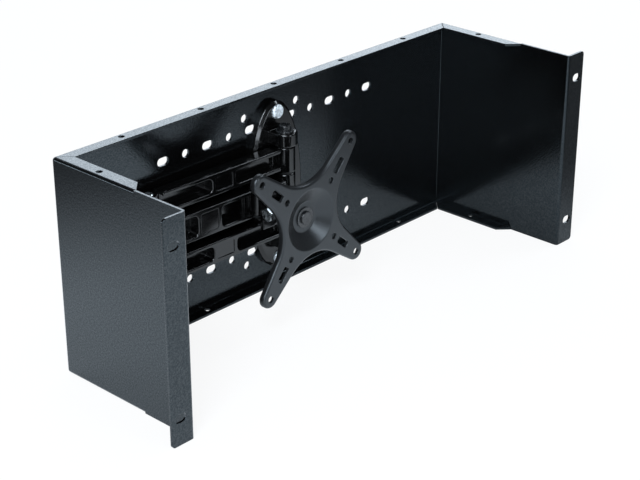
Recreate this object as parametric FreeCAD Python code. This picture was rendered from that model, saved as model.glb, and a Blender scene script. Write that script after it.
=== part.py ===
import FreeCAD, Part
import math
import os

# Rackmount monitor arm: a folded four-unit rack bracket that carries a nested folding arm.
# Millimetres. X is to the right and Z is up, as seen from the front of the rack, and Y goes into the rack.
# The origin is the centre of the rack ears' hole pattern, on the rear face of the ears.

# Rack panel standard
rack_unit = 44.45
rack_units = 4
panel_trim = 0.8
rack_width = 482.6
ear_width = 19.3
ear_hole_margin = 8.75
ear_slot_length = 10.5
ear_slot_width = 7.0
ear_corner = 3.0

# Folded bracket
sheet = 2.0
bend_inner = 0.5
bay_depth = 137.0
lip_width = 12.0
lip_start = 49.0
seam_gap = 0.5

# Holes in the bracket
panel_hole = 7.0
panel_slot_length = 11.5
panel_hole_pitch = 23.6
panel_hole_rows = 108.9
panel_slot_steps = (-5, -3, -1, 1, 3, 5)
panel_round_steps = (-4, -2, 2, 4)
spare_hole_span = 60.2
lip_hole = 5.0
lip_hole_pitch = 80.5
lip_hole_steps = (-2, -1, 0, 1, 2)
side_lip_hole_y = 92.5

# Base plate of the arm
base_bolt_rise = 131.0
base_end_margin = 8.6
base_width = 60.0
base_thick = 7.4
base_bevel = 2.6
base_edge = 0.9
lug_radius = 10.4
lug_round = 1.4

# Hinge stack, shared by the shoulder and the elbow
knuckle_radius = 8.3
knuckle_clearance = 0.5
knuckle_round = 1.2
pin_radius = 4.0
fit_gap = 0.05
bush_wall = 2.0
hinge_washer = 1.0
hinge_washer_radius = 7.6
middle_knuckle = 30.6
rear_knuckle = 22.2
lug_height = 11.5

# Beams
rear_length = 144.0
front_length = 112.5
beam_thick = 12.0
rear_beam_height = 18.5
front_beam_height = 24.0
flange = 3.2
flange_gap = 1.5
rim_round = 1.0
web = 1.8
web_inset = 0.4
neck_thick = 4.0
pocket_corner = 4.0
pocket_wall = 3.5
pad_width = 18.0
pad_border = 3.5
pad_depth = 0.7
pad_corner = 1.2
pad_rim = 0.4
rest_fold = 2.0

# Pan and tilt head
head_reach = 28.6
plate_reach = 31.5
pan_washer = 0.8
yoke_ear = 4.4
yoke_wall = 4.2
yoke_wall_gap = 16.0
yoke_width = 27.0
cheek_thick = 6.0
cheek_radius = 9.0
tilt_washer = 0.8
barrel_radius = 8.0
neck_height = 14.0
flange_radius = 15.0
flange_thick = 5.0
flange_bevel = 0.8

# Monitor plate
vesa_outer = 100.0
vesa_middle = 75.0
vesa_inner = 50.0
vesa_hole = 5.8
vesa_inner_hole = 5.5
vesa_slot_run = 8.0
vesa_slot_width = 6.0
vesa_slot_corner = 2.0
lobe_radius = 8.0
lobe_taper = 7.0
waist_radius = 31.5
plate_sheet = 2.5
plate_rim = 5.0
plate_edge = 2.4
rim_wall = 2.2
dish_rim_radius = 26.0
dish_floor_radius = 13.0
dish_depth = 7.5
dish_round = 2.5
plate_roll = 4.4
swivel_disc_radius = 12.2
swivel_disc_thick = 1.2
swivel_washer_radius = 8.5
swivel_washer_thick = 1.2
swivel_head_radius = 5.5
swivel_head = 1.9
swivel_dome = 0.8
swivel_thread = 9.0

# Fasteners
base_bolt_radius = 3.0
base_head_radius = 6.1
base_head = 2.4
base_dome = 1.6
base_washer_radius = 6.0
base_washer = 1.6
base_nut_flats = 10.0
base_nut = 5.0
bolt_tail = 1.5
shoulder_head_radius = 5.0
shoulder_head = 4.2
shoulder_dome = 0.8
end_washer = 1.2
end_washer_radius = 7.4
shoulder_nut_flats = 11.0
shoulder_nut = 4.6
elbow_pin_stand = 0.5
pan_pin_stand = 0.5
tilt_bolt_radius = 3.0
tilt_head_flats = 10.0
tilt_bolt_head = 5.0
tilt_nut_flats = 10.0
tilt_nut = 4.0
pin_bevel = 0.7

# Sizes worked out from those above
cut_over = 1.0
near = 0.001
half_height = (rack_units * rack_unit - panel_trim) / 2
ear_hole_rise = (rack_units - 1) * rack_unit
ear_hole_span = rack_width - 2 * ear_hole_margin
body_width = rack_width - 2 * ear_width
body_half = body_width / 2
inner_half = body_half - sheet
inner_height = half_height - sheet
rack_half = rack_width / 2
bend_outer = bend_inner + sheet
panel_rear = bay_depth + sheet
lip_inner_half = body_half - lip_width
lip_inner_y = panel_rear - lip_width

base_front = bay_depth - base_thick
shoulder_y = base_front - knuckle_clearance - knuckle_radius
middle_half = middle_knuckle / 2
rear_foot = middle_half + hinge_washer
rear_top = rear_foot + rear_knuckle
lug_foot = rear_top + hinge_washer
lug_top = lug_foot + lug_height
bush_outer = pin_radius + fit_gap + bush_wall
elbow_x = -rear_length
pan_x = front_length - rear_length

fold = math.radians(rest_fold)
head_x = pan_x * math.cos(fold)
head_y = shoulder_y - pan_x * math.sin(fold)
tilt_y = head_y - head_reach
plate_y = tilt_y - plate_reach
cheek_inner = yoke_width / 2 - cheek_thick
ear_foot = front_beam_height / 2 + pan_washer
ear_top = ear_foot + yoke_ear
dish_floor_y = plate_y + dish_depth
dish_back_y = dish_floor_y + plate_sheet
flange_y = dish_back_y + swivel_disc_thick


def point(x, y, z):
    return FreeCAD.Vector(x, y, z)


ALONG_X = point(1, 0, 0)
ALONG_Y = point(0, 1, 0)
ALONG_Z = point(0, 0, 1)


def block(x, y, z):
    """Box between two values along each axis."""
    corner = point(x[0], y[0], z[0])
    return Part.makeBox(x[1] - x[0], y[1] - y[0], z[1] - z[0], corner)


def rod(radius, start, end):
    """Cylinder between the centres of its two ends."""
    return Part.makeCylinder(radius, (end - start).Length, start, end - start)


def post(radius, x, y, z):
    """Upright cylinder at x, y between two heights."""
    return rod(radius, point(x, y, z[0]), point(x, y, z[1]))


def prism(outline, direction):
    """Solid swept from a closed list of edges."""
    return Part.Face(Part.Wire(outline)).extrude(direction)


def straight(start, end):
    return Part.LineSegment(start, end).toShape()


def arc(start, middle, end):
    return Part.Arc(start, middle, end).toShape()


def lines(points):
    """Closed outline of straight edges."""
    return [straight(a, b) for a, b in zip(points, points[1:] + points[:1])]


def hexagon(flats, axis_point, direction, thick):
    """Six-sided blank for a nut or a bolt head, with a corner pointing along X or Z."""
    corner_radius = flats / math.sqrt(3)
    side = ALONG_X if abs(direction.x) < 0.5 else ALONG_Z
    across = direction.cross(side)
    corners = []
    for step in range(6):
        angle = math.radians(60 * step)
        offset = side * (corner_radius * math.cos(angle)) + across * (corner_radius * math.sin(angle))
        corners.append(axis_point + offset)
    return prism(lines(corners), direction * thick)


def edges_along(shape, direction):
    """Straight edges that run along a direction."""
    found = []
    for edge in shape.Edges:
        if isinstance(edge.Curve, Part.Line) and edge.Curve.Direction.cross(direction).Length < near:
            found.append(edge)
    return found


def round_edges_at(shape, coordinate, value):
    """Closed circular edges whose centre lies at a value of one coordinate."""
    found = []
    for edge in shape.Edges:
        circle = isinstance(edge.Curve, Part.Circle)
        if circle and abs(getattr(edge.Curve.Center, coordinate) - value) < near:
            found.append(edge)
    return found


def slot(centre, run, width, along, through):
    """Cutter for a slot: its ends are round, and run is the distance between their centres."""
    half = along * (run / 2)
    side = through.cross(along).normalize() * (width / 2)
    start = centre - half
    end = centre + half
    tip = along * (run / 2 + width / 2)
    outline = [
        straight(start + side, end + side),
        arc(end + side, centre + tip, end - side),
        straight(end - side, start - side),
        arc(start - side, centre - tip, start + side),
    ]
    return prism(outline, through)


def both_sides(shape, normal):
    """A shape and its mirror image about the origin."""
    return [shape, shape.mirror(point(0, 0, 0), normal)]


def folded(shape):
    """A piece modelled with the arm parallel to the back panel, swung to its resting angle."""
    turned = shape.copy()
    turned.rotate(point(0, shoulder_y, 0), ALONG_Z, -rest_fold)
    return turned


def save(name, shape):
    shape.exportStep("parts/" + name + ".step")


# Rack bracket

def bent_box(half_width, rear, half_tall, radius):
    """Block with every edge rounded but those of its front face."""
    solid = block((-half_width, half_width), (lip_start, rear), (-half_tall, half_tall))
    rounded = []
    for edge in solid.Edges:
        if max(vertex.Y for vertex in edge.Vertexes) > lip_start + cut_over:
            rounded.append(edge)
    return solid.makeFillet(radius, rounded)


def rear_shell():
    """Back panel, the rear of the sides and the lips round all of them."""
    shell = bent_box(body_half, panel_rear, half_height, bend_outer)
    shell = shell.cut(bent_box(inner_half, bay_depth, inner_height, bend_inner))
    bend_half = body_half - bend_outer
    lip_end_y = lip_start + lip_width - bend_outer
    window = [
        point(-bend_half, lip_start - cut_over, 0),
        point(-bend_half, lip_start, 0),
        point(-lip_inner_half, lip_end_y, 0),
        point(-lip_inner_half, lip_inner_y, 0),
        point(lip_inner_half, lip_inner_y, 0),
        point(lip_inner_half, lip_end_y, 0),
        point(bend_half, lip_start, 0),
        point(bend_half, lip_start - cut_over, 0),
    ]
    opening = prism(lines(window), ALONG_Z * (bend_outer + cut_over))
    opening.translate(point(0, 0, half_height - bend_outer))
    return shell.cut(both_sides(opening, ALONG_Z))


def side_and_ear():
    """Front of the right side with its outward rack ear."""
    bend = math.sqrt(0.5)
    front = -sheet
    outline = [
        straight(point(inner_half, lip_start, 0), point(inner_half, front + bend_outer, 0)),
        arc(
            point(inner_half, front + bend_outer, 0),
            point(inner_half + bend_outer * (1 - bend), front + bend_outer * (1 - bend), 0),
            point(inner_half + bend_outer, front, 0),
        ),
        straight(point(inner_half + bend_outer, front, 0), point(rack_half, front, 0)),
        straight(point(rack_half, front, 0), point(rack_half, 0, 0)),
        straight(point(rack_half, 0, 0), point(body_half + bend_inner, 0, 0)),
        arc(
            point(body_half + bend_inner, 0, 0),
            point(body_half + bend_inner * (1 - bend), bend_inner * (1 - bend), 0),
            point(body_half, bend_inner, 0),
        ),
        straight(point(body_half, bend_inner, 0), point(body_half, lip_start, 0)),
        straight(point(body_half, lip_start, 0), point(inner_half, lip_start, 0)),
    ]
    wall = prism(outline, ALONG_Z * (2 * half_height))
    wall.translate(point(0, 0, -half_height))
    corners = []
    for edge in edges_along(wall, ALONG_Y):
        if edge.Vertexes[0].X > rack_half - ear_corner:
            corners.append(edge)
    return wall.makeFillet(ear_corner, corners)


def lip_seam():
    """Mitre seam between the back lip and the right side's lip, on top."""
    seam_length = lip_width * math.sqrt(2) - bend_outer
    seam = block(
        (-seam_gap, seam_length),
        (-seam_gap / 2, seam_gap / 2),
        (half_height - bend_outer, half_height + cut_over),
    )
    seam.rotate(point(0, 0, 0), ALONG_Z, 45)
    seam.translate(point(lip_inner_half, lip_inner_y, 0))
    return seam


def back_panel_holes():
    """Two rows of holes and slots by turns, the spare holes and those for the base plate's bolts."""
    cutters = []
    start = bay_depth - cut_over
    through = ALONG_Y * (sheet + 2 * cut_over)
    slot_run = panel_slot_length - panel_hole
    for row in (-panel_hole_rows / 2, panel_hole_rows / 2):
        for step in panel_slot_steps:
            centre = point(step * panel_hole_pitch, start, row)
            cutters.append(slot(centre, slot_run, panel_hole, ALONG_X, through))
        for step in panel_round_steps:
            centre = point(step * panel_hole_pitch, start, row)
            cutters.append(rod(panel_hole / 2, centre, centre + through))
    for height in (-base_bolt_rise / 2, base_bolt_rise / 2):
        for across in (-spare_hole_span / 2, 0, spare_hole_span / 2):
            centre = point(across, start, height)
            cutters.append(rod(panel_hole / 2, centre, centre + through))
    return cutters


def ear_slots():
    cutters = []
    through = ALONG_Y * (sheet + 2 * cut_over)
    for across in (-ear_hole_span / 2, ear_hole_span / 2):
        for height in (-ear_hole_rise / 2, ear_hole_rise / 2):
            centre = point(across, -sheet - cut_over, height)
            cutters.append(slot(centre, ear_slot_length - ear_slot_width, ear_slot_width, ALONG_X, through))
    return cutters


def lip_holes():
    """Small holes along the back lips and one in each side lip, top and bottom."""
    places = [(step * lip_hole_pitch, panel_rear - lip_width / 2) for step in lip_hole_steps]
    places += [(side * (body_half - lip_width / 2), side_lip_hole_y) for side in (-1, 1)]
    cutters = []
    for x, y in places:
        hole = post(lip_hole / 2, x, y, (inner_height - cut_over, half_height + cut_over))
        cutters += both_sides(hole, ALONG_Z)
    return cutters


def rack_bracket():
    bracket = rear_shell().fuse(both_sides(side_and_ear(), ALONG_X)).removeSplitter()
    for seam in both_sides(lip_seam(), ALONG_X):
        bracket = bracket.cut(both_sides(seam, ALONG_Z))
    return bracket.cut(back_panel_holes() + ear_slots() + lip_holes())


# Base plate with its hinge lugs

def knuckle(x, z):
    """Upright hinge barrel with rounded rims, on the arm's line of pivots."""
    barrel = post(knuckle_radius, x, shoulder_y, z)
    rims = round_edges_at(barrel, "z", z[0]) + round_edges_at(barrel, "z", z[1])
    return barrel.makeFillet(knuckle_round, rims)


def tongue(root, reach, radius, thick, rim):
    """Plate with straight sides, a round nose and rounded rims. Reach runs from its root to the nose's centre."""
    nose = root + reach
    side = thick.cross(reach).normalize() * radius
    tip = nose + FreeCAD.Vector(reach).normalize() * radius
    outline = [
        straight(root + side, nose + side),
        arc(nose + side, tip, nose - side),
        straight(nose - side, root - side),
        straight(root - side, root + side),
    ]
    solid = prism(outline, thick)
    rims = []
    for edge in solid.Edges:
        first = edge.Vertexes[0].Point
        last = edge.Vertexes[-1].Point
        level = abs((last - first).dot(thick)) < near
        at_root = max((first - root).dot(reach), (last - root).dot(reach)) < near
        if level and not at_root:
            rims.append(edge)
    return solid.makeFillet(rim, rims)


def lug(z, radius):
    """Hinge lug of the base plate between two heights."""
    root = point(0, base_front, z[0])
    return tongue(root, ALONG_Y * (shoulder_y - base_front), radius, ALONG_Z * (z[1] - z[0]), lug_round)


def arm_base_plate():
    base_half_height = base_bolt_rise / 2 + base_end_margin
    centre = point(0, bay_depth, 0)
    oval = Part.Ellipse(centre + ALONG_Z * base_half_height, centre + ALONG_X * (base_width / 2), centre)
    plate = prism([oval.toShape()], ALONG_Y * -base_thick)
    front = [edge for edge in plate.Edges if abs(edge.BoundBox.YMax - base_front) < near]
    plate = plate.makeChamfer(base_bevel, front)
    bevel_edges = []
    for edge in plate.Edges:
        box = edge.BoundBox
        if box.YLength < near and box.YMax < bay_depth - near:
            bevel_edges.append(edge)
    plate = plate.makeFillet(base_edge, bevel_edges)
    upper_lug = lug((lug_foot, lug_top), lug_radius)
    middle_lug = lug((-middle_half, middle_half), knuckle_radius)
    lower_lug = lug((-lug_top, -lug_foot), lug_radius)
    plate = plate.fuse([upper_lug, middle_lug, lower_lug])
    bore = post(pin_radius + fit_gap, 0, shoulder_y, (-lug_top - cut_over, lug_top + cut_over))
    cutters = [bore]
    for height in (-base_bolt_rise / 2, base_bolt_rise / 2):
        start = point(0, base_front - cut_over, height)
        cutters.append(rod(base_bolt_radius + fit_gap, start, point(0, bay_depth + cut_over, height)))
    return plate.cut(cutters)


def base_bolts():
    """Flat-headed bolts with rounded rims, through the base plate and the back panel."""
    tail_y = panel_rear + base_washer + base_nut + bolt_tail
    bolts = []
    for height in (-base_bolt_rise / 2, base_bolt_rise / 2):
        seat = point(0, base_front, height)
        head = rod(base_head_radius, seat, seat - ALONG_Y * base_head)
        dome = round_edges_at(head, "y", base_front - base_head)
        head = head.makeFillet(base_dome, dome)
        bolts.append(head.fuse(rod(base_bolt_radius, seat, point(0, tail_y, height))))
    return Part.makeCompound(bolts)


def base_washers():
    washers = []
    for height in (-base_bolt_rise / 2, base_bolt_rise / 2):
        seat = point(0, panel_rear, height)
        disc = rod(base_washer_radius, seat, seat + ALONG_Y * base_washer)
        washers.append(disc.cut(rod(base_bolt_radius + fit_gap, seat, seat + ALONG_Y * base_washer)))
    return Part.makeCompound(washers)


def base_nuts():
    nuts = []
    for height in (-base_bolt_rise / 2, base_bolt_rise / 2):
        seat = point(0, panel_rear + base_washer, height)
        blank = hexagon(base_nut_flats, seat, ALONG_Y, base_nut)
        nuts.append(blank.cut(rod(base_bolt_radius + fit_gap, seat, seat + ALONG_Y * base_nut)))
    return Part.makeCompound(nuts)


# Shoulder hinge

def upright_ring(outer, inner, x, z):
    """Ring on the arm's line of pivots."""
    return post(outer, x, shoulder_y, z).cut(post(inner, x, shoulder_y, z))


def shoulder_pin():
    head_foot = lug_top + end_washer
    foot = -lug_top - end_washer - shoulder_nut
    head = post(shoulder_head_radius, 0, shoulder_y, (head_foot, head_foot + shoulder_head))
    head = head.makeFillet(shoulder_dome, round_edges_at(head, "z", head_foot + shoulder_head))
    return head.fuse(post(pin_radius, 0, shoulder_y, (foot, head_foot)))


def shoulder_nut_blank():
    seat = point(0, shoulder_y, -lug_top - end_washer - shoulder_nut)
    blank = hexagon(shoulder_nut_flats, seat, ALONG_Z, shoulder_nut)
    return blank.cut(rod(pin_radius + fit_gap, seat, seat + ALONG_Z * shoulder_nut))


def shoulder_end_washers():
    ring = upright_ring(end_washer_radius, pin_radius + fit_gap, 0, (lug_top, lug_top + end_washer))
    return Part.makeCompound(both_sides(ring, ALONG_Z))


def shoulder_washers():
    """Plastic discs between the lugs and the beams' knuckles."""
    inner = pin_radius + fit_gap
    below = upright_ring(hinge_washer_radius, inner, 0, (middle_half, rear_foot))
    above = upright_ring(hinge_washer_radius, inner, 0, (rear_top, lug_foot))
    return Part.makeCompound(both_sides(below, ALONG_Z) + both_sides(above, ALONG_Z))


def shoulder_bushes():
    sleeve = upright_ring(bush_outer, pin_radius + fit_gap, 0, (rear_foot, rear_top))
    return Part.makeCompound(both_sides(sleeve, ALONG_Z))


# Beams

def beam_frame(left, right, z):
    """Flanges joined by a block at mid-length, seen from the front: an H on its side with round ends."""
    middle = point((left + right) / 2, shoulder_y - beam_thick / 2, (z[0] + z[1]) / 2)
    half = (z[1] - z[0]) / 2
    inner = half - flange
    nose = flange / 2
    reach = (right - left) / 2 - knuckle_radius - flange_gap
    tip = reach - nose
    wall = pad_width / 2 + pocket_wall
    bay = wall + pocket_corner
    bend = pocket_corner * (1 - math.sqrt(0.5))
    outline = []
    for way in (1, -1):

        def at(across, up):
            """Point by its distances from the beam's middle, turned half round the second time."""
            return middle + point(way * across, 0, way * up)

        outline += [
            straight(at(-tip, half), at(tip, half)),
            arc(at(tip, half), at(reach, half - nose), at(tip, inner)),
            straight(at(tip, inner), at(bay, inner)),
            arc(at(bay, inner), at(wall + bend, inner - bend), at(wall, inner - pocket_corner)),
            straight(at(wall, inner - pocket_corner), at(wall, pocket_corner - inner)),
            arc(at(wall, pocket_corner - inner), at(wall + bend, bend - inner), at(bay, -inner)),
            straight(at(bay, -inner), at(tip, -inner)),
            arc(at(tip, -inner), at(reach, nose - half), at(tip, -half)),
        ]
    frame = prism(outline, ALONG_Y * beam_thick)
    rims = [edge for edge in frame.Edges if edge.BoundBox.YLength < near]
    return frame.makeFillet(rim_round, rims)


def sink_pads(frame, middle, z):
    """Cuts the shallow square pad into both faces of a beam's middle block, with a rounded rim."""
    half = beam_thick / 2
    pad_half = pad_width / 2
    across = (middle - pad_half, middle + pad_half)
    up = (z[0] + pad_border, z[1] - pad_border)
    for face in (shoulder_y - half, shoulder_y + half):
        cutter = block(across, (face - pad_depth, face + pad_depth), up)
        frame = frame.cut(cutter.makeFillet(pad_corner, edges_along(cutter, ALONG_Y)))
        rims = []
        for edge in frame.Edges:
            box = edge.BoundBox
            on_face = abs(box.YMin - face) < near and abs(box.YMax - face) < near
            if on_face and box.XMin > across[0] - near and box.XMax < across[1] + near:
                rims.append(edge)
        frame = frame.makeFillet(pad_rim, rims)
    return frame


def beam(left, right, z):
    """Cast beam of channel section: deep bays in front, a web at the rear and a pad at mid-length."""
    frame = sink_pads(beam_frame(left, right, z), (left + right) / 2, z)
    core = (z[0] + flange / 2, z[1] - flange / 2)
    web_rear = shoulder_y + beam_thick / 2 - web_inset
    web_plate = block((left, right), (web_rear - web, web_rear), core)
    neck_reach = knuckle_radius + flange_gap + flange
    neck_sides = (web_rear - neck_thick, web_rear)
    left_neck = block((left, left + neck_reach), neck_sides, core)
    right_neck = block((right - neck_reach, right), neck_sides, core)
    return frame.fuse([web_plate, left_neck, right_neck])


def upper_rear_beam():
    """Rear beam above the front one, before it is swung to its resting angle."""
    span = (rear_foot, rear_top)
    body = beam(elbow_x, 0, (rear_top - rear_beam_height, rear_top))
    body = body.fuse([knuckle(elbow_x, span), knuckle(0, span)])
    elbow_bore = post(pin_radius + fit_gap, elbow_x, shoulder_y, (rear_foot - cut_over, rear_top + cut_over))
    shoulder_bore = post(bush_outer + fit_gap, 0, shoulder_y, (rear_foot - cut_over, rear_top + cut_over))
    return body.cut([elbow_bore, shoulder_bore])


def front_beam():
    """Front beam: a tall knuckle at the elbow and one of its own height at the head."""
    half = front_beam_height / 2
    body = beam(elbow_x, pan_x, (-half, half))
    elbow_knuckle = knuckle(elbow_x, (-middle_half, middle_half))
    body = body.fuse([elbow_knuckle, knuckle(pan_x, (-half, half))])
    bores = []
    for x in (elbow_x, pan_x):
        through = (-middle_half - cut_over, middle_half + cut_over)
        bores.append(post(bush_outer + fit_gap, x, shoulder_y, through))
    return body.cut(bores)


def elbow_pin():
    ends = rear_top + elbow_pin_stand
    pin = post(pin_radius, elbow_x, shoulder_y, (-ends, ends))
    return pin.makeChamfer(pin_bevel, round_edges_at(pin, "z", ends) + round_edges_at(pin, "z", -ends))


def elbow_bush():
    return upright_ring(bush_outer, pin_radius + fit_gap, elbow_x, (-middle_half, middle_half))


def elbow_washers():
    ring = upright_ring(hinge_washer_radius, pin_radius + fit_gap, elbow_x, (middle_half, rear_foot))
    return Part.makeCompound(both_sides(ring, ALONG_Z))


# Pan and tilt head

def pan_pin():
    ends = ear_top + pan_pin_stand
    pin = post(pin_radius, head_x, head_y, (-ends, ends))
    return pin.makeChamfer(pin_bevel, round_edges_at(pin, "z", ends) + round_edges_at(pin, "z", -ends))


def pan_bush():
    half = front_beam_height / 2
    return upright_ring(bush_outer, pin_radius + fit_gap, pan_x, (-half, half))


def pan_washers():
    ring = upright_ring(hinge_washer_radius, pin_radius + fit_gap, pan_x, (front_beam_height / 2, ear_foot))
    return Part.makeCompound(both_sides(ring, ALONG_Z))


def head_yoke():
    """Fork: ears above and below the front beam, a wall in front of it and two cheeks for the tilt bolt."""
    wall_rear = head_y - yoke_wall_gap
    wall_front = wall_rear - yoke_wall
    half = yoke_width / 2
    wall = block((head_x - half, head_x + half), (wall_front, wall_rear), (-ear_top, ear_top))
    pieces = [wall.makeFillet(rim_round, wall.Edges)]
    ear_root = wall_rear - yoke_wall / 2
    for foot in (ear_foot, -ear_top):
        root = point(head_x, ear_root, foot)
        pieces.append(tongue(root, ALONG_Y * (head_y - ear_root), knuckle_radius, ALONG_Z * yoke_ear, rim_round))
    cheek_root = wall_front + yoke_wall / 2
    for start in (-half, cheek_inner):
        root = point(head_x + start, cheek_root, 0)
        reach = ALONG_Y * (tilt_y - cheek_root)
        pieces.append(tongue(root, reach, cheek_radius, ALONG_X * cheek_thick, rim_round))
    yoke = pieces[0].fuse(pieces[1:]).removeSplitter()
    pan_bore = post(pin_radius + fit_gap, head_x, head_y, (-ear_top - cut_over, ear_top + cut_over))
    return yoke.cut([pan_bore, tilt_rod(tilt_bolt_radius + fit_gap, -half - cut_over, half + cut_over)])


def tilt_rod(radius, start, end):
    """Cylinder along the tilt axis, between two distances from the head's middle."""
    return rod(radius, point(head_x + start, tilt_y, 0), point(head_x + end, tilt_y, 0))


def tilt_bolt():
    half = yoke_width / 2
    head = hexagon(tilt_head_flats, point(head_x - half, tilt_y, 0), ALONG_X * -1, tilt_bolt_head)
    return head.fuse(tilt_rod(tilt_bolt_radius, -half, half + tilt_nut + bolt_tail))


def tilt_nut_blank():
    half = yoke_width / 2
    blank = hexagon(tilt_nut_flats, point(head_x + half, tilt_y, 0), ALONG_X, tilt_nut)
    return blank.cut(tilt_rod(tilt_bolt_radius + fit_gap, half, half + tilt_nut))


def tilt_washers():
    rings = []
    for start in (-cheek_inner, cheek_inner - tilt_washer):
        disc = tilt_rod(barrel_radius, start, start + tilt_washer)
        rings.append(disc.cut(tilt_rod(tilt_bolt_radius + fit_gap, start, start + tilt_washer)))
    return Part.makeCompound(rings)


def swivel_rod(radius, start, end):
    """Cylinder along the monitor plate's own axis, between two depths."""
    return rod(radius, point(head_x, start, 0), point(head_x, end, 0))


def tilt_head():
    """Barrel on the tilt bolt, a short neck and the flange behind the monitor plate."""
    half = cheek_inner - tilt_washer
    barrel = tilt_rod(barrel_radius, -half, half)
    neck = block((head_x - half, head_x + half), (flange_y, tilt_y), (-neck_height / 2, neck_height / 2))
    neck = neck.makeFillet(rim_round, edges_along(neck, ALONG_Y))
    disc = swivel_rod(flange_radius, flange_y, flange_y + flange_thick)
    disc = disc.makeChamfer(flange_bevel, round_edges_at(disc, "y", flange_y + flange_thick))
    head = barrel.fuse([neck, disc]).removeSplitter()
    thread = swivel_rod(pin_radius + fit_gap, flange_y - cut_over, flange_y + swivel_thread)
    return head.cut([tilt_rod(tilt_bolt_radius + fit_gap, -half - cut_over, half + cut_over), thread])


def swivel_bolt():
    seat = dish_floor_y - swivel_washer_thick
    head = swivel_rod(swivel_head_radius, seat - swivel_head, seat)
    head = head.makeFillet(swivel_dome, round_edges_at(head, "y", seat - swivel_head))
    return head.fuse(swivel_rod(pin_radius, seat, flange_y + swivel_thread))


def swivel_ring(radius, start, end):
    return swivel_rod(radius, start, end).cut(swivel_rod(pin_radius + fit_gap, start, end))


# Monitor plate

def cross_outline(inset):
    """Four tapered, round-ended lobes along the diagonals, joined by hollow arcs, at the plate's face."""
    diagonal = math.sqrt(0.5)
    taper = math.radians(lobe_taper)
    lean = math.sin(taper)
    lay = math.cos(taper)
    lobe = lobe_radius - inset
    waist = waist_radius - inset
    tip = vesa_outer * diagonal
    arc_centre = (waist - lobe - tip * lean) / (1 / diagonal - lay - lean)
    hollow = arc_centre / diagonal - waist
    face_centre = point(head_x, plate_y, 0)
    edges = []
    for quarter in range(4):
        turn = FreeCAD.Rotation(ALONG_Y, 90.0 * quarter)

        def at(along, across):
            """Point by its distance along a lobe and to the lobe's left."""
            flat = point((along - across) * diagonal, 0, (along + across) * diagonal)
            return face_centre + turn.multVec(flat)

        root = arc_centre - hollow * lean
        root_width = arc_centre - hollow * lay
        end = tip + lobe * lean
        end_width = lobe * lay
        waist_point = face_centre + turn.multVec(point(waist, 0, 0))
        next_root = at(root_width, -root)
        edges.append(straight(at(root, root_width), at(end, end_width)))
        edges.append(arc(at(end, end_width), at(tip + lobe, 0), at(end, -end_width)))
        edges.append(straight(at(end, -end_width), at(root, -root_width)))
        edges.append(arc(at(root, -root_width), waist_point, next_root))
    return edges


def dish_profile():
    """Half section of the pressed dish, from the bore to its rim, as a closed wire."""
    bore = pin_radius + fit_gap

    def at(radius, depth):
        return point(head_x + radius, plate_y + depth, 0)

    front = [
        at(bore, dish_depth),
        at(dish_floor_radius, dish_depth),
        at(dish_rim_radius, 0),
        at(dish_rim_radius + plate_sheet, 0),
        at(dish_rim_radius + plate_sheet, plate_sheet),
        at(dish_floor_radius + plate_sheet, dish_depth + plate_sheet),
        at(bore, dish_depth + plate_sheet),
    ]
    return Part.Face(Part.Wire(lines(front)))


def dish():
    solid = dish_profile().revolve(point(head_x, plate_y, 0), ALONG_Y, 360)
    bends = []
    for edge in solid.Edges:
        if not isinstance(edge.Curve, Part.Circle):
            continue
        depth = edge.Curve.Center.y - plate_y
        radius = edge.Curve.Radius
        rim = abs(radius - dish_rim_radius) < near and abs(depth) < near
        floor = abs(radius - dish_floor_radius) < near and abs(depth - dish_depth) < near
        if rim or floor:
            bends.append(edge)
    return solid.makeFillet(dish_round, bends)


def monitor_plate_level():
    """Pressed plate with a turned-back rim, before it is rolled to its resting angle."""
    outer = prism(cross_outline(0), ALONG_Y * plate_rim)
    front = [edge for edge in outer.Edges if edge.BoundBox.YMax < plate_y + near]
    outer = outer.makeFillet(plate_edge, front)
    hollow = prism(cross_outline(rim_wall), ALONG_Y * plate_rim)
    hollow.translate(ALONG_Y * plate_sheet)
    centre = swivel_rod(dish_rim_radius + plate_sheet / 2, plate_y - cut_over, dish_back_y)
    plate = outer.cut([hollow, centre])
    plate = plate.fuse(dish()).removeSplitter()
    return plate.cut(monitor_holes())


def vesa_slot(angle):
    """Cutter for a slot with rounded corners along a lobe. A screw at the middle square sits in its outer end."""
    half = vesa_slot_width / 2
    outer = vesa_middle * math.sqrt(0.5) + half
    inner = outer - vesa_slot_run - vesa_slot_width
    deep = (plate_y - cut_over, plate_y + plate_sheet + cut_over)
    cutter = block((head_x + inner, head_x + outer), deep, (-half, half))
    cutter = cutter.makeFillet(vesa_slot_corner, edges_along(cutter, ALONG_Y))
    cutter.rotate(point(head_x, plate_y, 0), ALONG_Y, -angle)
    return cutter


def monitor_holes():
    """Holes at the corners of the outer and inner squares, and slots that end at those of the middle one."""
    diagonal = math.sqrt(0.5)
    through = ALONG_Y * (plate_sheet + 2 * cut_over)
    cutters = []
    for quarter in range(4):
        angle = math.radians(45 + 90 * quarter)
        along = point(math.cos(angle), 0, math.sin(angle))
        start = point(head_x, plate_y - cut_over, 0)
        outer = start + along * (vesa_outer * diagonal)
        inner = start + along * (vesa_inner * diagonal)
        cutters.append(rod(vesa_hole / 2, outer, outer + through))
        cutters.append(rod(vesa_inner_hole / 2, inner, inner + through))
        cutters.append(vesa_slot(45 + 90 * quarter))
    return cutters


def monitor_plate():
    plate = monitor_plate_level()
    plate.rotate(point(head_x, plate_y, 0), ALONG_Y, -plate_roll)
    return plate


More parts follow.
